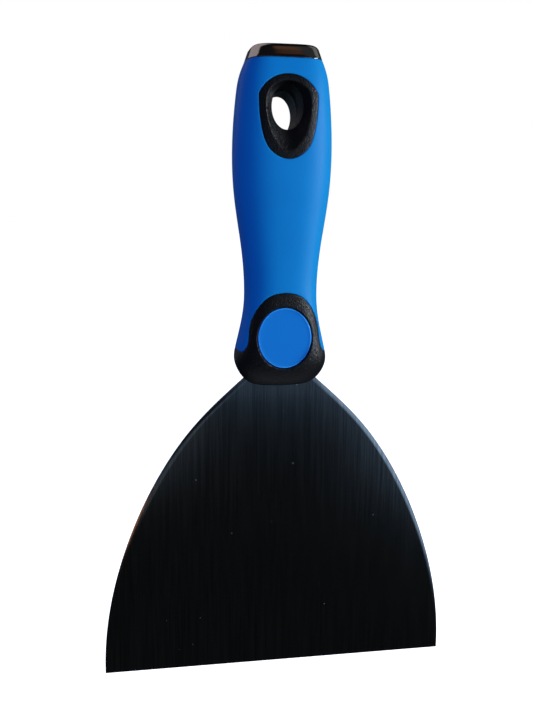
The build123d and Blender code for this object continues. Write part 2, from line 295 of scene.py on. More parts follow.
@dataclass(frozen=True)
class Finishes:
    """Every finish on the knife."""

    # Soft thermoplastic rubber, satin: the light spreads wide over it and its edges stay saturated.
    grip: MouldedFinish = MouldedFinish(
        "satin_blue_grip_rubber", "#0876BA", "#0879BD", 0.46, Grain.SMOOTH, 0.9, 0.006, 1.48, 0.12
    )
    # The badge is the same colour, moulded smoother.
    badge: MouldedFinish = MouldedFinish(
        "smooth_blue_badge", "#0871C2", "#0873C4", 0.42, Grain.SMOOTH, 0.8, 0.004, 1.5, 0.2,
        # The lighter band round the badge's edge is a painted highlight.
        rim=(11.2, 12.5, 149.1),
    )
    # Black rubber from a spark-eroded tool: a sandy grain that breaks the highlights up. The real grain is
    # about 0.1 mm, too fine to show, so it is drawn 0.65 mm wide.
    collar: MouldedFinish = MouldedFinish(
        "grained_black_collar_rubber", "#090B0D", "#0C0E10", 0.42, Grain.SPARK, 0.66, 0.30, 1.5
    )
    liner: MouldedFinish = MouldedFinish(
        "grained_black_liner_plastic", "#07090B", "#0A0C0F", 0.38, Grain.SPARK, 0.64, 0.26, 1.5
    )
    # Hard filled plastic, hidden inside the grip.
    core: MouldedFinish = MouldedFinish(
        "plain_black_polypropylene", "#1A1B1D", "#202124", 0.55, Grain.SMOOTH, 0.7, 0.01, 1.49
    )
    # Stainless sheet, ground lengthwise and polished: mirror-dark face on, streaked towards the handle. The
    # real lines are under 0.1 mm wide, too fine to show, so they are drawn 0.6 mm wide.
    blade: MetalFinish = MetalFinish(
        "polished_stainless_blade", "#C2C6CA", 0.11, Grain.BRUSHED, 0.6, 0.0003, 0.01, 0.35, "#9AA0A6", 9.0
    )
    # Chrome plate on steel: a sharp mirror. Then plain ground and turned steel inside the handle.
    cap: MetalFinish = MetalFinish("bright_chrome_cap", "#D8D3CF", 0.07, Grain.BRIGHT, 1.6, 0.002, 0.04)
    block: MetalFinish = MetalFinish("machined_block_steel", "#9A9B9D", 0.3, Grain.BRUSHED, 0.6, 0.006, 0.08)
    rivet: MetalFinish = MetalFinish("turned_rivet_steel", "#A6A7A9", 0.26, Grain.BRIGHT, 0.8, 0.006, 0.08)


# ---------------------------------------------------------------- shape rules


def cubic_spline(places: np.ndarray, values: np.ndarray, wanted: np.ndarray) -> np.ndarray:
    """Read a natural cubic spline.

    Args:
        places: the knots' places, rising.
        values: one row of values at each knot.
        wanted: places to read.

    Returns:
        One row of values at each wanted place.
    """
    gaps = np.diff(places)
    count = len(places)
    system = np.eye(count)
    right = np.zeros_like(values)
    for i in range(1, count - 1):
        system[i, i - 1 : i + 2] = gaps[i - 1], 2 * (gaps[i - 1] + gaps[i]), gaps[i]
        right[i] = 6 * ((values[i + 1] - values[i]) / gaps[i] - (values[i] - values[i - 1]) / gaps[i - 1])
    bend = np.linalg.solve(system, right)
    cell = np.clip(np.searchsorted(places, wanted) - 1, 0, count - 2)
    gap = gaps[cell][:, None]
    after = (wanted - places[cell])[:, None]
    before = gap - after
    return (
        bend[cell] * before**3 / (6 * gap)
        + bend[cell + 1] * after**3 / (6 * gap)
        + (values[cell] / gap - bend[cell] * gap / 6) * before
        + (values[cell + 1] / gap - bend[cell + 1] * gap / 6) * after
    )


def run_along(points: np.ndarray) -> np.ndarray:
    """Distance along a line to each of its points.

    Args:
        points: the line's points.

    Returns:
        The distances, from zero.
    """
    return np.r_[0, np.cumsum(np.linalg.norm(np.diff(points, axis=0), axis=1))]


def read_rows(places: np.ndarray, rows: np.ndarray, wanted: np.ndarray) -> np.ndarray:
    """Read a table's columns between its rows.

    Args:
        places: the rows' places, rising.
        rows: the table.
        wanted: places to read.

    Returns:
        One row at each wanted place.
    """
    return np.stack([np.interp(wanted, places, column) for column in rows.T], axis=-1)


def oval(width: float, height: float, up: float, angles: np.ndarray) -> np.ndarray:
    """Points round an oval, from its top clockwise.

    Args:
        width: half width.
        height: half height.
        up: height of its centre.
        angles: the points' angles.

    Returns:
        Across and up of each point.
    """
    return np.c_[width * np.sin(angles), up + height * np.cos(angles)]


def smooth_line(points: Points, count: int) -> np.ndarray:
    """Read a smooth curve through a few points, evenly along its length.

    Args:
        points: the points, across and up.
        count: how many points to return.

    Returns:
        The curve's points, one a row.
    """
    given = np.array(points, float)
    run = run_along(given)
    dense = cubic_spline(run, given, np.linspace(0, run[-1], 40 * len(points)))
    length = run_along(dense)
    return read_rows(length, dense, np.linspace(0, length[-1], count))


def half_curve(points: Points, starts_on_middle: bool, ends_on_middle: bool) -> np.ndarray:
    """Read the +X half of a smooth outline that crosses the middle line square.

    Args:
        points: the half outline's points.
        starts_on_middle: whether the first point is on the middle line.
        ends_on_middle: whether the last point is on the middle line.

    Returns:
        The half outline's points, closely spaced.
    """
    before = [(-x, z) for x, z in points[2:0:-1]] if starts_on_middle else []
    after = [(-x, z) for x, z in points[-2:-4:-1]] if ends_on_middle else []
    curve = smooth_line(before + list(points) + after, 1200)
    first = np.argmin(np.hypot(*(curve - points[0]).T))
    last = np.argmin(np.hypot(*(curve - points[-1]).T))
    half = curve[first : last + 1].copy()
    half[0], half[-1] = points[0], points[-1]
    return half


def section_ring(width: float, depth: float, square: float, height: float, quarter: int) -> np.ndarray:
    """Points evenly round a superellipse section, in four equal quarters.

    Args:
        width: half width.
        depth: half depth.
        square: its squareness.
        height: its height.
        quarter: how many points in each quarter.

    Returns:
        The section's points, counter-clockwise seen from above.
    """
    turn = np.linspace(0, math.pi / 2, 500)
    arc = np.c_[width * np.cos(turn) ** (2 / square), depth * np.sin(turn) ** (2 / square)]
    arc[-1, 0] = arc[0, 1] = 0.0
    run = run_along(arc)
    first = read_rows(run, arc, np.linspace(0, run[-1], quarter + 1))
    flips = ((1, 1, False), (-1, 1, True), (-1, -1, False), (1, -1, True))
    ring = np.vstack([(first[::-1] if back else first)[:-1] * (sx, sy) for sx, sy, back in flips])
    return np.c_[ring, np.full(len(ring), height)]


@dataclass
class HandleForm:
    """The handle's outer form: superellipse sections through stations up its length, in millimetres."""

    stations: list[tuple[float, float, float, float]]
    dense: np.ndarray = field(init=False)

    def __post_init__(self) -> None:
        """Read the stations' smooth rise once, evenly along the surface."""
        given = np.array(self.stations, float)
        run = run_along(given[:, :3])
        self.dense = cubic_spline(run, given, np.linspace(0, run[-1], 1600))

    def rows(self, bottom: float, top: float, step: float) -> np.ndarray:
        """Stations evenly spaced along the surface between two heights.

        Args:
            bottom: lowest height.
            top: highest height.
            step: about how far apart.

        Returns:
            Height, half width, half depth and squareness of each row.
        """
        part = self.dense[(self.dense[:, 0] >= bottom) & (self.dense[:, 0] <= top)]
        ends = read_rows(self.dense[:, 0], self.dense, np.array([bottom, top]))
        part = np.vstack([ends[0], part, ends[1]])
        run = run_along(part[:, :3])
        return read_rows(run, part, np.linspace(0, run[-1], max(3, round(run[-1] / step))))

    def depth_at(self, across: np.ndarray, up: np.ndarray) -> np.ndarray:
        """How far the surface stands from the middle plane.

        Args:
            across: places across the handle.
            up: heights.

        Returns:
            The surface's distance from the middle plane at each place.
        """
        width, depth, square = (np.interp(up, self.dense[:, 0], self.dense[:, i]) for i in (1, 2, 3))
        share = np.clip(np.abs(across) / width, 0, 0.999)
        return depth * (1 - share**square) ** (1 / square)


@dataclass
class Outline:
    """A closed outline in the XZ plane, seen from a middle point that sees all of it, in millimetres."""

    points: np.ndarray
    middle: float

    def __post_init__(self) -> None:
        """Sort the points by their angle about the middle."""
        self.angles = np.arctan2(self.points[:, 0], self.points[:, 1] - self.middle)
        order = np.argsort(self.angles)
        self.angles = self.angles[order]
        self.radii = np.hypot(self.points[order, 0], self.points[order, 1] - self.middle)

    @classmethod
    def mirrored(cls, half: np.ndarray, middle: float) -> "Outline":
        """Make a whole outline from its half on the +X side, from top to bottom.

        Args:
            half: the half outline's points.
            middle: height of the middle point.

        Returns:
            The whole outline.
        """
        return cls(np.vstack([half, half[-2:0:-1] * (-1, 1)]), middle)

    @classmethod
    def oval(cls, width: float, height: float, middle: float) -> "Outline":
        """Make an ellipse.

        Args:
            width: half width.
            height: half height.
            middle: height of its centre.

        Returns:
            The outline.
        """
        return cls(oval(width, height, middle, np.linspace(0, 2 * math.pi, 720, endpoint=False)), middle)

    def ring(self, angles: np.ndarray) -> np.ndarray:
        """Points of the outline at angles about its middle, from the top clockwise.

        Args:
            angles: the angles.

        Returns:
            Across and up of each point.
        """
        radius = np.interp(angles, self.angles, self.radii, period=2 * math.pi)
        return np.c_[radius * np.sin(angles), self.middle + radius * np.cos(angles)]

    def beyond(self, places: np.ndarray) -> np.ndarray:
        """Signed distance from the outline, positive outside it.

        Args:
            places: across and up of each place.

        Returns:
            The distances.
        """
        gap = nearest(places, self.points)
        angle = np.arctan2(places[:, 0], places[:, 1] - self.middle)
        radius = np.interp(angle, self.angles, self.radii, period=2 * math.pi)
        return np.where(np.hypot(places[:, 0], places[:, 1] - self.middle) > radius, gap, -gap)


def nearest(places: np.ndarray, line: np.ndarray) -> np.ndarray:
    """Distance from each place to the nearest point of a finely drawn line.

    Args:
        places: across and up of each place.
        line: the line's points.

    Returns:
        The distances.
    """
    chunks = [
        np.sqrt(((part[:, None, :] - line[None]) ** 2).sum(2)).min(1)
        for part in np.array_split(places, max(1, len(places) // 4000))
    ]
    return np.concatenate(chunks)


# ---------------------------------------------------------------- mesh helpers


@dataclass
class Skin:
    """A surface of polygons that can be cut along a rule and given rolled edges and an inner wall."""

    points: np.ndarray
    faces: list[Face]

    def cut(self, rule: np.ndarray) -> "Skin":
        """Keep the part where a rule's value is positive, with its edge exactly where it is zero.

        Args:
            rule: the rule's value at each point.

        Returns:
            The part kept.
        """
        value = rule.copy()
        points = [tuple(p) for p in self.points]
        moved = self._snap(value, points)
        made: dict[tuple[int, int], int] = {}
        faces = []
        for face in self.faces:
            if all(value[i] <= 0 for i in face):
                continue
            kept: list[int] = []
            for here, there in zip(face, face[1:] + face[:1]):
                if value[here] >= 0:
                    kept.append(here)
                if value[here] * value[there] < 0:
                    key = (min(here, there), max(here, there))
                    if key not in made:
                        share = value[key[0]] / (value[key[0]] - value[key[1]])
                        made[key] = len(points)
                        a, b = np.array(moved[key[0]]), np.array(moved[key[1]])
                        points.append(tuple(a + share * (b - a)))
                        moved.append(points[-1])
                    kept.append(made[key])
            if len(kept) > 2:
                faces.append(tuple(kept))
        used = sorted({i for face in faces for i in face})
        place = {old: new for new, old in enumerate(used)}
        kept_points = np.array([moved[i] for i in used])
        return Skin(kept_points, [tuple(place[i] for i in face) for face in faces])

    def _snap(self, value: np.ndarray, points: list[tuple]) -> list[tuple]:
        """Move the points that lie near the cut onto it, so that no sliver is left.

        Args:
            value: the rule's values, set to zero where a point is moved.
            points: the points.

        Returns:
            The points after the moves.
        """
        best: dict[int, tuple[float, int]] = {}
        for face in self.faces:
            for here, there in zip(face, face[1:] + face[:1]):
                if value[here] * value[there] < 0:
                    share = value[here] / (value[here] - value[there])
                    for near, far, part in ((here, there, share), (there, here, 1 - share)):
                        if part < 0.35 and part < best.get(near, (1.0, 0))[0]:
                            best[near] = (part, far)
        moved = list(points)
        for near, (part, far) in best.items():
            if far in best:
                if (best[far][0], far) < (part, near):
                    continue
            a, b = np.array(points[near]), np.array(points[far])
            moved[near] = tuple(a + part * (b - a))
            value[near] = 0.0
        return moved

    def normals(self) -> np.ndarray:
        """Unit normals at the points, weighted by the faces round them.

        Returns:
            One normal for each point.
        """
        total = np.zeros_like(self.points)
        for face in self.faces:
            corner = self.points[list(face)]
            turned = np.roll(corner, -1, axis=0)
            area = np.cross(corner - corner[0], turned - corner[0]).sum(0)
            for i in face:
                total[i] += area
        return total / np.maximum(np.linalg.norm(total, axis=1, keepdims=True), 1e-12)

    def edge_loops(self) -> list[list[int]]:
        """The open edges, as closed loops that run the way their faces do.

        Returns:
            The loops' point numbers.
        """
        sides = {(a, b) for face in self.faces for a, b in zip(face, face[1:] + face[:1])}
        after = {a: b for a, b in sides if (b, a) not in sides}
        loops = []
        while after:
            start, here = next(iter(after.items()))
            loop = [start]
            del after[start]
            while here != start:
                loop.append(here)
                here = after.pop(here)
            loops.append(loop)
        return loops

    def walled(self, thickness: float, roll: float, steps: int = 4) -> "Skin":
        """Close the surface into a wall, with its open edges rolled over to a radius.

        Args:
            thickness: the wall's thickness.
            roll: the rolled edge's radius.
            steps: faces round the roll.

        Returns:
            The closed wall.
        """
        normal = self.normals()
        count = len(self.points)
        points = [self.points, self.points - normal * thickness]
        faces = list(self.faces) + [tuple(i + count for i in face[::-1]) for face in self.faces]
        total = 2 * count
        for loop in self.edge_loops():
            place = self.points[loop]
            up = normal[loop]
            along = np.roll(place, -1, axis=0) - np.roll(place, 1, axis=0)
            out = np.cross(along, up)
            out /= np.maximum(np.linalg.norm(out, axis=1, keepdims=True), 1e-12)
            rings = [np.array(loop)]
            for step in range(1, steps + 1):
                turn = math.pi / 2 * step / steps
                points.append(place + out * roll * math.sin(turn) - up * roll * (1 - math.cos(turn)))
                rings.append(np.arange(total, total + len(loop)))
                total += len(loop)
            points.append(place + out * roll - up * thickness)
            rings.append(np.arange(total, total + len(loop)))
            total += len(loop)
            rings.append(np.array(loop) + count)
            for low, high in zip(rings, rings[1:]):
                for i in range(len(loop)):
                    j = (i + 1) % len(loop)
                    faces.append((int(low[j]), int(low[i]), int(high[i]), int(high[j])))
        return Skin(np.vstack(points), faces)


def ring_faces(rings: int, count: int, closed: bool) -> list[Face]:
    """Quads between rings of points.

    Args:
        rings: how many rings.
        count: points in each ring.
        closed: whether the last ring joins the first.

    Returns:
        The faces.
    """
    faces = []
    for i in range(rings if closed else rings - 1):
        low, high = i * count, (i + 1) % rings * count
        for j in range(count):
            k = (j + 1) % count
            faces.append((low + j, low + k, high + k, high + j))
    return faces


def make_piece(name: str, points: np.ndarray, faces: list[Face], finish: Material) -> Piece:
    """Make a smooth-shaded mesh object from points in millimetres.

    Args:
        name: the piece's name.
        points: its points.
        faces: its faces, pointing outwards.
        finish: its material.

    Returns:
        The object.
    """
    mesh = bpy.data.meshes.new(name)
    mesh.from_pydata((np.asarray(points) * MM).tolist(), [], faces)
    mesh.validate()
    mesh.materials.append(finish)
    mesh.polygons.foreach_set("use_smooth", np.ones(len(mesh.polygons), bool))
    mesh.set_sharp_from_angle(angle=math.radians(SHARP_DEGREES))
    piece = bpy.data.objects.new(name, mesh)
    bpy.context.scene.collection.objects.link(piece)
    return piece


def settle(piece: Piece, slot: str, *nodes: str) -> None:
    """Fix a piece to the knife's one body, hide the nodes it replaces and log which nodes it stands for.

    Args:
        piece: the piece.
        slot: not used.
        *nodes: the nodes it replaces.
    """
    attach(piece, ROOT)
    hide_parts(*nodes)
    LOG.info("%s: %d faces, stands for %s", piece.name, len(piece.data.polygons), ", ".join(nodes))


# ---------------------------------------------------------------- handle


@dataclass
class HandleParts:
    """The grip, the collar with its tongues, the badges and the hole's liner. Sizes in millimetres."""

    finishes: Finishes
    form: HandleForm = field(
        default_factory=lambda: HandleForm(
            [
                (127.6, 8.5, 3.2, 2.2), (128.5, 12.4, 6.4, 2.3), (130.6, 15.4, 9.6, 2.5),
                (134.6, 18.15, 12.2, 2.8), (139.0, 19.3, 13.4, 3.0), (144.0, 18.6, 13.8, 3.1),
                (149.0, 17.4, 13.7, 3.1), (155.9, 15.9, 13.5, 3.1), (163.0, 15.1, 13.0, 2.9),
                (169.5, 15.1, 12.7, 2.7), (180.0, 15.75, 12.9, 2.7), (192.9, 17.45, 13.8, 2.7),
                (206.0, 19.3, 15.0, 2.7), (222.0, 20.2, 15.9, 2.8), (236.0, 19.7, 15.9, 3.0),
                (247.7, 18.55, 15.3, 3.3), (255.0, 17.2, 14.3, 3.6), (260.1, 15.25, 13.2, 3.9),
            ]
        )
    )
    cell: float = 0.8
    bottom: float = 127.6
    top: float = 260.1
    hem: float = 143.2
    tongue_side: tuple = (
        (17.2, 143.2), (15.75, 145.6), (14.9, 151.0), (14.0, 156.0), (11.8, 160.7), (6.7, 166.2),
    )
    tongue_crown: float = 167.8
    tongue_top: float = 168.4
    edge_roll: float = 0.35
    wall: float = 2.0
    badge_height: float = 149.1
    badge_size: tuple[float, float] = (11.2, 12.5)
    badge_groove: float = 0.45
    badge_face: float = 12.1
    badge_back: float = 10.3
    hole_height: float = 241.4
    throat_front: tuple[float, float, float] = (6.4, 8.8, 241.4)
    throat_rear: tuple[float, float, float] = (5.8, 8.4, 239.8)
    tube: tuple[float, float] = (8.2, 11.2)
    throat_depth: float = 12.4
    throat_step: float = 0.12
    ridge: float = 0.2
    flange_seat: float = 11.6
    flange_corner: tuple[float, float] = (11.95, 245.9)
    flange_top: float = 253.8
    flange_side: tuple = ((11.95, 245.9), (11.75, 240.0), (10.65, 232.3), (7.9, 225.3))
    flange_foot: float = 221.1
    rim_top: float = 251.2
    rim_side: tuple = ((4.7, 250.0), (7.8, 247.4), (9.0, 242.4), (8.1, 235.4), (4.8, 227.7))
    rim_foot: float = 224.3
    ring_count: int = 144

    def joint_line(self) -> np.ndarray:
        """The line where the grip meets the collar, on the +X side from the outside in.

        Returns:
            The line's points.
        """
        curve = half_curve([*self.tongue_side, (0.0, self.tongue_crown)], False, True)
        level = np.c_[np.linspace(30, self.tongue_side[0][0], 120), np.full(120, self.hem)]
        return np.vstack([level, curve])

    def above_joint(self, points: np.ndarray) -> np.ndarray:
        """Signed distance above the line between grip and collar.

        Args:
            points: points on the handle.

        Returns:
            The distances, positive on the grip's side.
        """
        line = self.joint_line()
        places = np.c_[np.abs(points[:, 0]), points[:, 2]]
        gap = nearest(places, line)
        height = np.interp(places[:, 0], line[::-1, 0], line[::-1, 1])
        return np.where(places[:, 1] > height, gap, -gap)

    def flange_outline(self) -> Outline:
        """The liner flange's outline: an arched top, two corners and a rounded foot.

        Returns:
            The outline.
        """
        across, up = self.flange_corner
        rise = self.flange_top - up
        radius = (across**2 + rise**2) / (2 * rise)
        turn = np.linspace(0, math.asin(min(1.0, across / radius)), 120)
        arch = np.c_[radius * np.sin(turn), self.flange_top - radius + radius * np.cos(turn)]
        side = half_curve([*self.flange_side, (0.0, self.flange_foot)], False, True)
        return Outline.mirrored(np.vstack([arch[:-1], side]), self.hole_height)

    def mouth_outline(self) -> Outline:
        """The funnel's egg-shaped mouth.

        Returns:
            The outline.
        """
        half = half_curve([(0.0, self.rim_top), *self.rim_side, (0.0, self.rim_foot)], True, True)
        return Outline.mirrored(half, self.hole_height)

    def skin(self, bottom: float, top: float) -> Skin:
        """The handle's bare outer surface between two heights.

        Args:
            bottom: lowest height.
            top: highest height.

        Returns:
            The surface.
        """
        rows = self.form.rows(bottom, top, self.cell)
        quarter = 36
        points = np.vstack([section_ring(*row[1:], row[0], quarter) for row in rows])
        return Skin(points, ring_faces(len(rows), 4 * quarter, False))

    def build_grip(self) -> None:
        """The soft sleeve, cut round the liner and down to the collar."""
        skin = self.skin(self.hem - 2, self.top - self.edge_roll)
        rule = np.minimum(
            self.above_joint(skin.points), self.flange_outline().beyond(skin.points[:, [0, 2]])
        )
        wall = skin.cut(rule - self.edge_roll).walled(self.wall, self.edge_roll)
        piece = make_piece("grip_sleeve_skin", wall.points, wall.faces, self.finishes.grip.build())
        settle(piece, "grip_rubber", "grip_sleeve")

    def build_collar(self) -> None:
        """The collar: a rounded end round the blade, and a tongue with a badge pocket on each face."""
        skin = self.skin(self.bottom, self.tongue_top)
        pocket = Outline.oval(*(size + self.badge_groove for size in self.badge_size), self.badge_height)
        rule = np.minimum(-self.above_joint(skin.points), pocket.beyond(skin.points[:, [0, 2]]))
        wall = skin.cut(rule - self.edge_roll).walled(3.0, self.edge_roll)
        piece = make_piece("bolster_skin", wall.points, wall.faces, self.finishes.collar.build())
        settle(piece, "collar_plastic", "bolster")

    def rings_piece(self, name: str, rings: list[np.ndarray], side: int, closed: bool, finish) -> Piece:
        """A piece made of rings round an outline, on the front or the rear.

        Args:
            name: the piece's name.
            rings: rings of points for the front, depths negative.
            side: -1 for the front, 1 for the rear.
            closed: whether the rings close on themselves; if not, both ends get a flat middle.
            finish: its material.

        Returns:
            The object.
        """
        points = np.vstack(rings)
        count = len(rings[0])
        faces = ring_faces(len(rings), count, closed)
        if not closed:
            faces.append(tuple(range(count))[::-1])
            faces.append(tuple(range(len(points) - count, len(points))))
        if side > 0:
            points = points * (1, -1, 1)
        else:
            faces = [face[::-1] for face in faces]
        return make_piece(name, points, faces, finish)

    def build_badges(self) -> None:
        """Oval badges with a fine raised lip round a shallow dish."""
        turn = np.linspace(0, 2 * math.pi, self.ring_count, endpoint=False)
        width, height = self.badge_size
        roll, dish = 0.35, self.badge_face - 0.1
        profile = [(0.0, self.badge_back), (0.0, self.badge_face - 0.4)]
        for angle in np.linspace(0, math.pi / 2, 6)[1:]:
            profile.append((roll * (1 - math.cos(angle)), self.badge_face - roll + roll * math.sin(angle)))
        profile += [(0.55, self.badge_face), (0.8, self.badge_face - 0.06)]
        profile += [(inset, dish) for inset in (1.1, 2.5, 5.0, 8.0, 10.0)]
        for name, side in (("front", -1), ("rear", 1)):
            rings = [
                np.insert(oval(width - inset, height - inset, self.badge_height, turn), 1, -depth, axis=1)
                for inset, depth in profile
            ]
            piece = self.rings_piece(f"badge_{name}_face", rings, side, False, self.finishes.badge.build())
            settle(piece, "badge_rubber", f"badge_{name}")

    def liner_rings(self, throat: tuple[float, float, float]) -> list[np.ndarray]:
        """Rings round a liner half: flange edge, face, lip, funnel, bore and back outside the tube.

        Args:
            throat: half width, half height and height of this half's throat.

        Returns:
            The rings.
        """
        middle = [(a + b) / 2 for a, b in zip(self.throat_front, self.throat_rear)]
        corner = math.atan2(self.flange_corner[0], self.flange_corner[1] - self.hole_height)
        angles = np.linspace(-math.pi, math.pi, self.ring_count, endpoint=False)
        for target in (corner, -corner):
            angles[np.argmin(np.abs(angles - target))] = target
        outer = self.flange_outline().ring(angles)
        inner = self.mouth_outline().ring(angles)

        def placed(places: np.ndarray, depth: np.ndarray | float) -> np.ndarray:
            """Put a flat ring at a depth in front of the middle plane."""
            return np.insert(places, 1, -np.broadcast_to(depth, len(places)), axis=1)

        def surface(places: np.ndarray) -> np.ndarray:
            """The handle's surface depth at each place."""
            return self.form.depth_at(places[:, 0], places[:, 1])

        step = self.throat_step
        back = oval(*self.tube, self.hole_height, angles)
        ledge = oval(throat[0] + step, throat[1] + step, throat[2], angles)
        inward = inner - outer
        inward /= np.linalg.norm(inward, axis=1, keepdims=True)
        roll, lip, down = 0.3, 0.25, 0.16
        rings = [placed(back, self.flange_seat), placed(outer, self.flange_seat)]
        rings.append(placed(outer, surface(outer) - 3 * roll))
        for angle in np.linspace(0, math.pi / 2, 5):
            places = outer + inward * roll * (1 - math.cos(angle))
            rings.append(placed(places, surface(places) - roll + roll * math.sin(angle)))
        start, end = outer + inward * roll, inner - inward * lip
        for share in (0.25, 0.5, 0.75, 1.0):
            places = start + (end - start) * share
            rings.append(placed(places, surface(places)))
        mouth_depth = surface(inner)
        fall = self.throat_depth - mouth_depth
        first, knee = np.c_[end, surface(end)], np.c_[inner, mouth_depth]
        third = np.c_[inner + (ledge - inner) * down, mouth_depth + fall * down]
        for share in (0.25, 0.5, 0.75, 1.0):
            mixed = first * (1 - share) ** 2 + knee * 2 * share * (1 - share) + third * share**2
            rings.append(placed(mixed[:, :2], mixed[:, 2]))
        for share in (0.35, 0.6, 0.8, 0.95, 1.0):
            rings.append(placed(inner + (ledge - inner) * share, mouth_depth + fall * share))
        for inset, drop in ((0.03, 0.02), (0.08, 0.1), (0.11, 0.25)):
            ring = oval(ledge[:, 0].max() - inset, throat[1] + step - inset, throat[2], angles)
            rings.append(placed(ring, self.throat_depth - drop))
        for share in (0.05, 0.3, 0.6, 0.88):
            size = [a + (b - a) * share for a, b in zip(throat, middle)]
            rings.append(placed(oval(*size, angles), (self.throat_depth - 0.4) * (1 - share)))
        ridge = oval(middle[0] - self.ridge, middle[1] - self.ridge, middle[2], angles)
        for ring, depth in ((ridge, 0.8), (ridge, 0.03), (back, 0.03), (back, 6.0)):
            rings.append(placed(ring, depth))
        return rings

    def build_liners(self) -> None:
        """Both halves of the hanging hole's liner."""
        for name, side, throat in (("front", -1, self.throat_front), ("rear", 1, self.throat_rear)):
            rings, finish = self.liner_rings(throat), self.finishes.liner.build()
            piece = self.rings_piece(f"hole_liner_{name}_moulding", rings, side, True, finish)
            settle(piece, "liner_plastic", f"hole_liner_{name}")

    def build(self) -> None:
        """Make every moulded piece of the handle."""
        self.build_grip()
        self.build_collar()
        self.build_badges()
        self.build_liners()


# ---------------------------------------------------------------- hammer cap


@dataclass
class HammerCap:
    """The flared chrome shell on the handle's end. Sizes in millimetres."""

    finishes: Finishes
    bottom: tuple[float, float] = (15.25, 13.2)
    top: tuple[float, float] = (13.35, 11.3)
    square: float = 3.9
    base_height: float = 260.1
    top_height: float = 265.7
    top_round: float = 1.7
    wall: float = 1.1
    foot_roll: float = 0.2

    def plan(self, inset: float, height: float, quarter: int = 40) -> np.ndarray:
        """A section at a height, set in from the flare.

        Args:
            inset: how far in.
            height: the height.
            quarter: points in each quarter.

        Returns:
            The ring's points.
        """
        share = (height - self.base_height) / (self.top_height - self.base_height)
        share = min(1.0, max(0.0, share))
        width, depth = (low + (high - low) * share - inset for low, high in zip(self.bottom, self.top))
        return section_ring(width, depth, self.square, height, quarter)

    def profile(self) -> Points:
        """Inset and height of each ring: down inside, round the foot and up outside.

        Returns:
            The profile's points.
        """
        inner_top = self.top_height - self.wall
        steps = [(self.wall + inset, inner_top) for inset in (9.0, 5.0, 2.0)]
        foot, roll = self.base_height + 0.02, self.foot_roll
        steps += [(self.wall + 0.5, inner_top - 0.4), (self.wall, inner_top - 1.6), (self.wall, foot)]
        for angle in np.linspace(0, math.pi / 2, 5)[1:]:
            steps.append((roll * (1 - math.sin(angle)), foot + roll * (1 - math.cos(angle))))
        flare_end = self.top_height - self.top_round
        steps += [(0.0, foot + (flare_end - foot) * share) for share in (0.33, 0.66, 1.0)]
        for angle in np.linspace(0, math.pi / 2, 9)[1:]:
            inset = self.top_round * (1 - math.cos(angle))
            steps.append((inset, flare_end + self.top_round * math.sin(angle)))
        steps += [(inset, self.top_height) for inset in (3.0, 5.0, 7.0, 9.0)]
        return steps

    def build(self) -> None:
        """Make the shell."""
        rings = [self.plan(inset, height) for inset, height in self.profile()]
        count = len(rings[0])
        points = np.vstack(rings)
        faces = ring_faces(len(rings), count, False)
        faces.append(tuple(range(count))[::-1])
        faces.append(tuple(range(len(points) - count, len(points))))
        piece = make_piece("cap_shell_chrome", points, faces, self.finishes.cap.build())
        settle(piece, "cap_chrome", "cap_shell")


# ---------------------------------------------------------------- blade


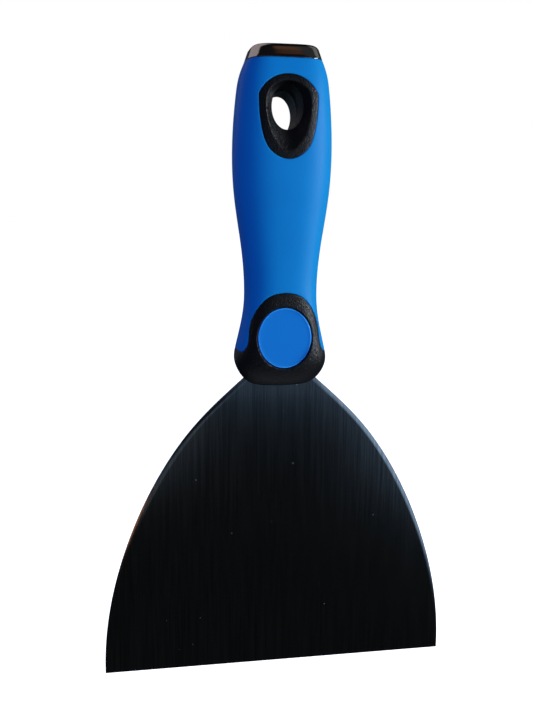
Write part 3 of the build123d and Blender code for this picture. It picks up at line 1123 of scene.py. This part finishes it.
@dataclass
class Blade:
    """The blade and its tang, one piece of ground stainless. Sizes in millimetres."""

    finishes: Finishes
    half_width: float = 76.2
    side: tuple = ((76.2, 0.0), (73.6, 30.0), (65.2, 60.0), (50.7, 90.5), (36.7, 110.0), (15.6, 130.4))
    edge_thickness: float = 0.7
    tang_thickness: float = 2.0
    taper_start: float = 122.0
    neck: tuple[float, float] = (7.0, 141.0)
    hole_height: float = 241.4
    waist_height: float = 185.0
    eye: tuple[float, float] = (13.2, 16.0)
    eye_hole: tuple[float, float] = (8.7, 11.7)
    tab_half_width: float = 5.5
    tab_top: float = 264.0
    bevel_width: float = 3.0
    bevel_drop: float = 0.2
    columns: int = 20

    def half_thickness(self, up: np.ndarray) -> np.ndarray:
        """Half the blade's thickness at heights.

        Args:
            up: the heights.

        Returns:
            Half the thickness at each.
        """
        share = np.clip(up / self.taper_start, 0, 1)
        return (self.edge_thickness + (self.tang_thickness - self.edge_thickness) * share) / 2

    def sheet(self) -> tuple[np.ndarray, np.ndarray, np.ndarray]:
        """The rows of the fan and neck: where each row's columns stand, across, up and in depth.

        Returns:
            Across, up and depth, each with a row for each height.
        """
        mirrored = [(self.side[1][0], -self.side[1][1]), *self.side]
        curve = smooth_line(mirrored, 400)
        curve = curve[curve[:, 1] >= 0]
        curve[0] = self.half_width, 0
        picks = curve[np.linspace(0, len(curve) - 1, 70).round().astype(int)]
        widths, up = picks[:, 0], picks[:, 1]
        inner = np.linspace(-1, 1, self.columns)
        across, heights, depths = [], [], []
        for width, height in zip(np.minimum(widths, self.half_width), up):
            share = height / self.side[-1][1]
            band = 0.9 + (self.bevel_width - 0.9) * share
            edge = width - np.array([0.0, 0.12, 0.45, 0.85, 1.0]) * band
            drop = np.array([1.0, 0.78, 0.35, 0.04, 0.0]) * self.bevel_drop * band / self.bevel_width
            row = np.r_[-edge, inner * (width - band - 0.3), edge[::-1]]
            fall = np.r_[drop, np.zeros(self.columns), drop[::-1]]
            thick = float(self.half_thickness(np.array([height]))[0])
            across.append(row)
            heights.append(np.full(len(row), height))
            depths.append(thick - np.minimum(fall, thick - 0.12))
        return np.array(across), np.array(heights), np.array(depths)

    def build(self) -> None:
        """Make the blade and tang."""
        across, up, depth = self.sheet()
        rows, columns = across.shape
        front = np.c_[across.ravel(), -depth.ravel(), up.ravel()]
        rear = front * (1, -1, 1)
        points = [front, rear]
        faces = []
        offset = rows * columns
        for i in range(rows - 1):
            for j in range(columns - 1):
                a, d = i * columns + j, (i + 1) * columns + j
                b, c = a + 1, d + 1
                faces.append((a, b, c, d))
                faces.append((d + offset, c + offset, b + offset, a + offset))
            left, right = i * columns, i * columns + columns - 1
            faces.append((left + offset, left, left + columns, left + columns + offset))
            faces.append((right, right + offset, right + columns + offset, right + columns))
        for j in range(columns - 1):
            faces.append((j + offset, j + 1 + offset, j + 1, j))
        self._add_tang(points, faces, list(range(offset - columns, offset)), offset)
        piece = make_piece("blade_and_tang", np.vstack(points), faces, self.finishes.blade.build())
        settle(piece, "blade_steel", "blade")

    def _add_tang(self, points: list[np.ndarray], faces: list[Face], last: list[int], offset: int) -> None:
        """Add the tang, with its eye and end tab, on the fan's last row.

        Args:
            points: the mesh's points so far.
            faces: the mesh's faces so far.
            last: the point numbers of the fan's last row, on the front.
            offset: how far the rear's points are from the front's.
        """
        half = self.tang_thickness / 2
        turn = math.asin(self.neck[0] / self.eye[0])
        sweep = np.linspace(math.pi - turn, math.asin(self.tab_half_width / self.eye[0]), 40)
        around = np.linspace(0, 2 * math.pi, 80, endpoint=False)
        right = np.vstack([
            self.neck, (self.neck[0], self.waist_height), oval(*self.eye, self.hole_height, sweep),
            (self.tab_half_width, self.tab_top),
        ])
        outline = np.vstack([right, right[::-1] * (-1, 1)])
        rim = np.vstack([outline, oval(*self.eye_hole, self.hole_height, around)])
        start = sum(len(block) for block in points)
        border = list(range(start, start + len(outline)))
        hole = list(range(start + len(outline), start + len(rim)))
        flat = [Vector((x, z, 0)) for x, z in [*points[0][last][:, [0, 2]].tolist(), *rim.tolist()]]
        points += [np.insert(rim, 1, depth, axis=1) for depth in (-half, half)]
        numbers = [*last, *border, *hole]
        rear = {n: n + offset if n < offset else n + len(rim) for n in numbers}
        split = len(flat) - len(hole)
        for trio in tessellate_polygon([flat[:split], flat[split:]]):
            a, b, c = (flat[i] for i in trio)
            front = tuple(numbers[i] for i in trio)
            if (b - a).cross(c - a).z <= 0:
                front = front[::-1]
            faces += [front, tuple(rear[n] for n in front[::-1])]
        for line in ([last[-1], *border, last[0]], [*hole, hole[0]]):
            faces += [(a, rear[a], rear[b], b) for a, b in zip(line, line[1:])]


# ---------------------------------------------------------------- hidden hardware


@dataclass
class Hardware:
    """The tang rivets inside the handle, set along a line by a node tree. Sizes in millimetres."""

    finishes: Finishes

    def lathe_tree(self, name: str, profile: Points) -> Tree:
        """A tree that turns a profile about Y and sets copies of it along a line.

        Args:
            name: the tree's name.
            profile: depth and radius of each corner of the half profile.

        Returns:
            The tree, with inputs Count, First, Step and Finish.
        """
        tree = bpy.data.node_groups.new(name, "GeometryNodeTree")
        inputs = {"Count": "Int", "First": "Vector", "Step": "Vector", "Finish": "Material"}
        for label, kind in inputs.items():
            tree.interface.new_socket(label, in_out="INPUT", socket_type="NodeSocket" + kind)
        tree.interface.new_socket("Geometry", in_out="OUTPUT", socket_type="NodeSocketGeometry")
        given = add_node(tree, "NodeGroupInput")
        joined = add_node(tree, "GeometryNodeJoinGeometry")
        for (low, low_radius), (high, high_radius) in zip(profile, profile[1:]):
            size = {"Radius_Top": high_radius * MM, "Radius_Bottom": low_radius * MM}
            size["Depth"] = max(high - low, 1e-4) * MM
            drum = add_node(tree, "GeometryNodeMeshCone", {"fill_type": "NONE"}, Vertices=48, **size)
            turn = {"Translation": (0.0, low * MM, 0.0), "Rotation": (-math.pi / 2, 0.0, 0.0)}
            placed = add_node(tree, "GeometryNodeTransform", Geometry=drum.outputs["Mesh"], **turn)
            tree.links.new(placed.outputs["Geometry"], joined.inputs["Geometry"])
        drums = joined.outputs["Geometry"]
        welded = add_node(tree, "GeometryNodeMergeByDistance", Geometry=drums, Distance=1e-6)
        count, first, step, finish = (given.outputs[label] for label in inputs)
        line = add_node(tree, "GeometryNodeMeshLine", Count=count, Start_Location=first, Offset=step)
        rivet = welded.outputs["Geometry"]
        copies = add_node(tree, "GeometryNodeInstanceOnPoints", Points=line.outputs["Mesh"], Instance=rivet)
        real = add_node(tree, "GeometryNodeRealizeInstances", Geometry=copies.outputs["Instances"])
        result = real.outputs["Geometry"]
        dressed = add_node(tree, "GeometryNodeSetMaterial", Geometry=result, Material=finish)
        add_node(tree, "NodeGroupOutput", Geometry=dressed.outputs["Geometry"])
        return tree

    def set_out(
        self, name: str, profile: Points, count: int, first: Vector, step: Vector, node: str
    ) -> None:
        """Run the tree and keep its result as a plain mesh.

        Args:
            name: the piece's name.
            profile: depth and radius of each corner of the half profile.
            count: how many copies.
            first: where the first stands, in metres.
            step: from one to the next, in metres.
            node: the node that the piece stands for.
        """
        finish = self.finishes.rivet.build()
        tree = self.lathe_tree(name + "_tree", profile)
        holder = bpy.data.objects.new(name + "_holder", bpy.data.meshes.new(name + "_seed"))
        bpy.context.scene.collection.objects.link(holder)
        modifier = holder.modifiers.new("set_out", "NODES")
        modifier.node_group = tree
        keys = {item.name: item.identifier for item in tree.interface.items_tree if item.in_out == "INPUT"}
        for label, value in (("Count", count), ("First", first), ("Step", step), ("Finish", finish)):
            modifier[keys[label]] = value
        graph = bpy.context.evaluated_depsgraph_get()
        mesh = bpy.data.meshes.new_from_object(holder.evaluated_get(graph))
        mesh.name = name
        holder.modifiers.clear()
        bpy.data.objects.remove(holder)
        piece = bpy.data.objects.new(name, mesh)
        bpy.context.scene.collection.objects.link(piece)
        settle(piece, "rivet_steel", node)

    def build(self) -> None:
        """Set out the tang rivets."""
        reach, seat, shank, head = 9.8, 8.4, 2.0, 3.4
        profile = [
            (-reach, 0.0), (-reach, head - 0.4), (-reach + 0.4, head), (-seat, head), (-seat, shank),
            (seat, shank), (seat, head), (reach - 0.4, head), (reach, head - 0.4), (reach, 0.0),
        ]
        low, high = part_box("tang_rivets")
        first = Vector((0.0, 0.0, low.z + head * MM))
        last = Vector((0.0, 0.0, high.z - head * MM))
        self.set_out("tang_rivet_set", profile, 3, first, (last - first) / 2, "tang_rivets")


def dress_inner_nodes(finishes: Finishes) -> None:
    """Give the carried-over inner nodes their materials.

    Args:
        finishes: the knife's finishes.
    """
    core, block, rivet = finishes.core.build(), finishes.block.build(), finishes.rivet.build()
    for node, material in (
        ("core_front", core), ("core_rear", core), ("strike_block", block), ("cap_pin", rivet),
        ("bolster_rivet", rivet), ("rivet_washers", rivet),
    ):
        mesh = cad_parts[node].data
        mesh.materials.clear()
        mesh.materials.append(material)
        LOG.info("%s: dressed in %s", node, material.name)


# ---------------------------------------------------------------- studio


@dataclass(frozen=True)
class Patch:
    """A soft-edged part of the room that the metal reflects, placed by its direction from the knife."""

    azimuth: float
    elevation: float
    half_size: float
    edge: float
    colour: str


def from_angles(azimuth: float, elevation: float) -> Vector:
    """Turn a direction's angles into a unit vector.

    Args:
        azimuth: degrees round from the front, positive to the right.
        elevation: degrees above the level.

    Returns:
        The unit vector.
    """
    a, e = math.radians(azimuth), math.radians(elevation)
    return Vector((math.sin(a) * math.cos(e), -math.cos(a) * math.cos(e), math.sin(e)))


@dataclass(frozen=True)
class SoftLight:
    """A square soft light that faces the handle."""

    name: str
    azimuth: float
    elevation: float
    distance: float
    size: float
    power: float
    colour: str
    in_gloss: bool = True


@dataclass
class Studio:
    """The pale floor, the soft lights, the surroundings that the metal reflects, and the camera."""

    camera_place: tuple[float, float, float] = (-0.0665, -0.3527, 0.1993)
    yaw: float = 9.80
    pitch: float = -9.37
    roll: float = 0.46
    focal_share: float = 850 / 710
    floor_height: float = -0.06
    ambient: str = "#4E52A4"
    # Height of a direction (-1 down to 1 up) and the colour of the room there: a pale floor straight below,
    # a dark stretch in front of the blade, a slate-grey wall round the level, and a dim ceiling.
    room: tuple = (
        (-1.00, "#9AA0A6"), (-0.75, "#3A3E42"), (-0.52, "#131313"), (-0.31, "#131414"),
        (-0.265, "#16181B"), (-0.242, "#1C2328"), (-0.22, "#2A343E"), (-0.20, "#384553"),
        (-0.10, "#465564"), (0.25, "#2A2E33"), (0.60, "#171515"), (1.00, "#0E0D0D"),
    )
    # Brown and grey for the cap; a bright window at the right, a dark gap and a brown post at the left, for
    # the blade and its bevels.
    patches: tuple = (
        Patch(21.0, 55.0, 8.0, 3.5, "#533A2A"), Patch(52.0, 52.0, 18.0, 4.0, "#2E2F30"),
        Patch(-127.0, 43.0, 40.0, 5.0, "#9C9295"), Patch(102.0, 45.0, 18.0, 6.0, "#6E7372"),
        Patch(31.0, -7.0, 10.0, 8.0, "#7A92A8"), Patch(33.0, -8.5, 12.0, 2.5, "#A6BED6"),
        Patch(-6.0, -5.0, 6.0, 2.0, "#0E1012"), Patch(-1.0, -13.0, 4.0, 3.5, "#4C5359"),
        Patch(-11.0, -16.0, 2.0, 1.0, "#D08A5C"),
    )
    lights: tuple = (
        SoftLight("key_right", 64.0, 7.0, 0.9, 0.33, 5.0, "#EEF4FF"),
        SoftLight("key_wash", 64.0, 0.0, 0.9, 0.6, 8.0, "#FFF6BC", False),
        SoftLight("rear_glow", 205.0, 20.0, 1.3, 0.7, 3.5, "#FFFFFF", False),
        SoftLight("fill_front", -6.0, 8.0, 1.3, 0.7, 5.0, "#D6E4FF", False),
    )

    def build_camera(self) -> None:
        """The camera: a little left of the knife's front, level with its handle, looking slightly down."""
        yaw, pitch, roll = (math.radians(a) for a in (self.yaw, self.pitch, self.roll))
        ahead = Vector((math.sin(yaw) * math.cos(pitch), math.cos(yaw) * math.cos(pitch), math.sin(pitch)))
        level = Vector((math.cos(yaw), -math.sin(yaw), 0.0))
        above = level.cross(ahead)
        right = level * math.cos(roll) + above * math.sin(roll)
        top = above * math.cos(roll) - level * math.sin(roll)
        data = bpy.data.cameras.new("camera")
        data.sensor_width = 36.0
        data.lens = 36.0 * self.focal_share
        data.clip_start, data.clip_end = 0.01, 100.0
        camera = bpy.data.objects.new("camera", data)
        turn = Matrix((right, top, -ahead)).transposed().to_4x4()
        camera.matrix_world = Matrix.Translation(self.camera_place) @ turn
        bpy.context.scene.collection.objects.link(camera)
        bpy.context.scene.camera = camera

    def build_floor(self) -> None:
        """A wide pale floor below the knife."""
        turn = np.linspace(0, 2 * math.pi, 96, endpoint=False)
        points = [(12.0 * math.cos(a), 12.0 * math.sin(a), self.floor_height) for a in turn]
        mesh = bpy.data.meshes.new("floor")
        mesh.from_pydata(points, [], [tuple(range(len(points)))])
        material, _, shader, _ = new_material("pale_floor_paper")
        shader.inputs["Base Color"].default_value = srgb("#F4F4F4")
        shader.inputs["Roughness"].default_value = 0.9
        shader.inputs["Emission Color"].default_value = srgb("#FFFFFF")
        shader.inputs["Emission Strength"].default_value = 1.0
        mesh.materials.append(material)
        floor = bpy.data.objects.new("floor", mesh)
        floor.visible_glossy = False
        floor.visible_diffuse = False
        bpy.context.scene.collection.objects.link(floor)

    def build_surroundings(self) -> None:
        """A white backdrop to the eye, a soft ambient light, and a dim room for the gloss to reflect."""
        world = bpy.data.worlds.new("studio")
        world.use_nodes = True
        bpy.context.scene.world = world
        tree = world.node_tree
        tree.nodes.clear()
        coords = add_node(tree, "ShaderNodeTexCoord").outputs["Generated"]
        split = add_node(tree, "ShaderNodeSeparateXYZ", Vector=coords)
        height = add_node(tree, "ShaderNodeMapRange", Value=split.outputs["Z"], From_Min=-1.0, From_Max=1.0)
        wall = add_node(tree, "ShaderNodeValToRGB", Fac=height.outputs["Result"])
        set_ramp(wall, [((place + 1) / 2, srgb(code)) for place, code in self.room])
        colour = wall.outputs["Color"]
        for patch in self.patches:
            way = from_angles(patch.azimuth, patch.elevation)
            near = add_node(tree, "ShaderNodeVectorMath", {"operation": "DOT_PRODUCT"}, i0=coords, i1=way)
            far, full = (math.cos(math.radians(patch.half_size + side * patch.edge)) for side in (1, -1))
            ends = {"Value": near.outputs["Value"], "From_Min": far, "From_Max": full}
            mask = add_node(tree, "ShaderNodeMapRange", {"interpolation_type": "SMOOTHSTEP"}, **ends)
            tone = srgb(patch.colour)
            share = mask.outputs["Result"]
            mixed = add_node(tree, "ShaderNodeMix", {"data_type": "RGBA"}, i0=share, i6=colour, i7=tone)
            colour = mixed.outputs[2]
        path = add_node(tree, "ShaderNodeLightPath")
        seen = add_node(tree, "ShaderNodeBackground", Color=srgb("#FFFFFF"), Strength=1.0)
        soft = add_node(tree, "ShaderNodeBackground", Color=srgb(self.ambient), Strength=1.0)
        reflected = add_node(tree, "ShaderNodeBackground", Color=colour, Strength=1.0)
        shader = soft.outputs["Background"]
        for ray, other in (("Is Glossy Ray", reflected), ("Is Camera Ray", seen)):
            chosen = other.outputs["Background"]
            mixed = add_node(tree, "ShaderNodeMixShader", i0=path.outputs[ray], i1=shader, i2=chosen)
            shader = mixed.outputs["Shader"]
        add_node(tree, "ShaderNodeOutputWorld", Surface=shader)

    def add_light(self, given: SoftLight) -> None:
        """Set a soft light up.

        Args:
            given: its name, place, size, power and colour.
        """
        target = Vector((0.0, 0.0, 0.18))
        way = from_angles(given.azimuth, given.elevation)
        data = bpy.data.lights.new(given.name, "AREA")
        data.size = given.size
        data.energy = given.power
        data.color = srgb(given.colour)[:3]
        light = bpy.data.objects.new(given.name, data)
        light.location = target + way * given.distance
        light.rotation_mode = "QUATERNION"
        light.rotation_quaternion = way.to_track_quat("Z", "Y")
        light.visible_glossy = given.in_gloss
        bpy.context.scene.collection.objects.link(light)

    def build(self) -> None:
        """Set the scene up round the knife."""
        self.build_camera()
        self.build_floor()
        self.build_surroundings()
        for light in self.lights:
            self.add_light(light)
        bpy.context.scene.view_settings.view_transform = "Standard"


# ---------------------------------------------------------------- main


def main() -> None:
    """Build the studio and every piece of the knife in order."""
    logging.basicConfig(level=logging.INFO, format="%(name)s %(message)s")
    finishes = Finishes()
    Studio().build()
    Blade(finishes).build()
    HandleParts(finishes).build()
    HammerCap(finishes).build()
    Hardware(finishes).build()
    dress_inner_nodes(finishes)


if __name__ == "__main__":
    main()
